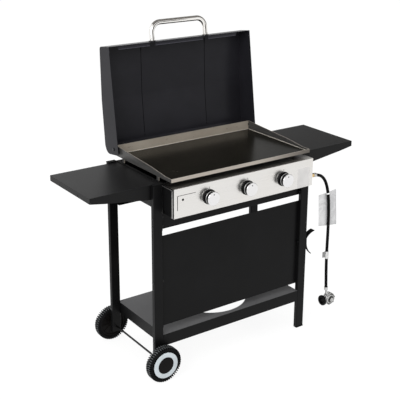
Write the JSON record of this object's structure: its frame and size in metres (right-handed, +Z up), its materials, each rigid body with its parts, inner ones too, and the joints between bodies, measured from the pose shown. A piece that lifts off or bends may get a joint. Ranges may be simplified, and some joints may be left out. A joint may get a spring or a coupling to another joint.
{
  "type": "outdoor gas griddle station",
  "caption": "Wheeled outdoor gas griddle: steel plate under a hinged lid, brushed control panel with knobs, side shelves, cylinder shelf, hose and regulator.",
  "frame": {"origin": "on the floor, at the middle of the footprint's bounding box", "axes": "+Z up, +X to the cook's right, -Y towards the cook"},
  "size_m": [1.264, 0.5436, 1.3253],
  "materials": {
    "black_steel": "satin black powder coat",
    "lid_enamel": "satin black heat-proof paint",
    "black_plastic": "matte moulded plastic",
    "griddle_steel": "rolled steel, dark on top and ground bright on the lip",
    "stainless": "brushed stainless steel",
    "chrome_knob": "satin chrome face on a black grip",
    "brass": "machined brass",
    "cast_alloy": "cast and plated zinc alloy",
    "plated_steel": "plated steel",
    "ceramic": "glazed ceramic",
    "tyre": "moulded tread",
    "pale_ring": "pale moulded plastic",
    "rubber": "smooth rubber hose",
    "tag_card": "bare vinyl tag",
    "clear_clip": "clear plastic"
  },
  "bodies": {
    "stand": {"leg_front_left": "black_steel", "leg_front_right": "black_steel", "leg_rear_left": "black_steel", "leg_rear_right": "black_steel", "leg_caps": "black_plastic", "front_rail": "black_steel", "rear_rail": "black_steel", "front_sheet": "black_steel", "bottom_shelf": "black_steel", "firebox_left_wall": "black_steel", "firebox_right_wall": "black_steel", "firebox_tray": "black_steel", "griddle_plate": "griddle_steel", "burner_left": "stainless", "burner_centre": "stainless", "burner_right": "stainless", "igniter_electrodes": "ceramic", "gas_manifold": "plated_steel", "valve_bodies": "cast_alloy", "control_panel": "stainless", "panel_end_left": "black_steel", "panel_end_right": "black_steel", "knob_bezels": "black_plastic", "side_shelf_left": "black_steel", "side_shelf_right": "black_steel", "frame_bolts": "plated_steel", "panel_screws": "plated_steel", "wheel_axle": "plated_steel", "axle_spacers": "black_plastic", "axle_nuts": "plated_steel", "hose_hook": "black_steel", "inlet_fitting": "brass", "hose_ferrules": "plated_steel", "gas_hose": "rubber", "hose_tag": "tag_card", "hose_clip": "clear_clip", "regulator_body": "cast_alloy", "grease_cup": "plated_steel", "hinge_pins": "plated_steel"},
    "lid": {"lid_shell": "lid_enamel", "lid_handle": "stainless", "handle_washers": "black_plastic", "handle_screws": "plated_steel", "hinge_bushes": "brass"},
    "wheel_front": {"tyre_front": "tyre", "hub_front": "black_plastic", "trim_ring_front": "pale_ring"},
    "wheel_rear": {"tyre_rear": "tyre", "hub_rear": "black_plastic", "trim_ring_rear": "pale_ring"},
    "plug_left": {"valve_plug_left": "brass"},
    "knob_left": {"knob_left": "chrome_knob", "valve_stem_left": "brass"},
    "plug_centre": {"valve_plug_centre": "brass"},
    "knob_centre": {"knob_centre": "chrome_knob", "valve_stem_centre": "brass"},
    "plug_right": {"valve_plug_right": "brass"},
    "knob_right": {"knob_right": "chrome_knob", "valve_stem_right": "brass"},
    "coupling": {"coupling_nut": "black_plastic"}
  },
  "joints": [
    {"name": "lid_hinge", "type": "hinge", "parent": "stand", "child": "lid", "pos_m": [0, 0.18153, 0.839], "axis": [1, 0, 0], "range_deg": [0, 97.7]},
    {"name": "wheel_front_spin", "type": "hinge", "parent": "stand", "child": "wheel_front", "pos_m": [-0.36, -0.20097, 0.073], "axis": [0, 1, 0], "continuous": true},
    {"name": "wheel_rear_spin", "type": "hinge", "parent": "stand", "child": "wheel_rear", "pos_m": [-0.36, 0.20603, 0.073], "axis": [0, 1, 0], "continuous": true},
    {"name": "knob_left_turn", "type": "hinge", "parent": "stand", "child": "plug_left", "pos_m": [-0.1766, -0.24082, 0.735], "axis": [0, -1, 0], "range_deg": [0, 180]},
    {"name": "knob_left_push", "type": "slide", "parent": "plug_left", "child": "knob_left", "axis": [0, 1, 0], "range_m": [0, 0.003], "stiffness_N_per_m": 1500},
    {"name": "knob_centre_turn", "type": "hinge", "parent": "stand", "child": "plug_centre", "pos_m": [0.0027, -0.24082, 0.735], "axis": [0, -1, 0], "range_deg": [0, 180]},
    {"name": "knob_centre_push", "type": "slide", "parent": "plug_centre", "child": "knob_centre", "axis": [0, 1, 0], "range_m": [0, 0.003], "stiffness_N_per_m": 1500},
    {"name": "knob_right_turn", "type": "hinge", "parent": "stand", "child": "plug_right", "pos_m": [0.182, -0.24082, 0.735], "axis": [0, -1, 0], "range_deg": [0, 180]},
    {"name": "knob_right_push", "type": "slide", "parent": "plug_right", "child": "knob_right", "axis": [0, 1, 0], "range_m": [0, 0.003], "stiffness_N_per_m": 1500},
    {"name": "coupling_turn", "type": "hinge", "parent": "stand", "child": "coupling", "pos_m": [0.487, -0.21247, 0.118], "axis": [-1, 0, 0], "continuous": true}
  ]
}
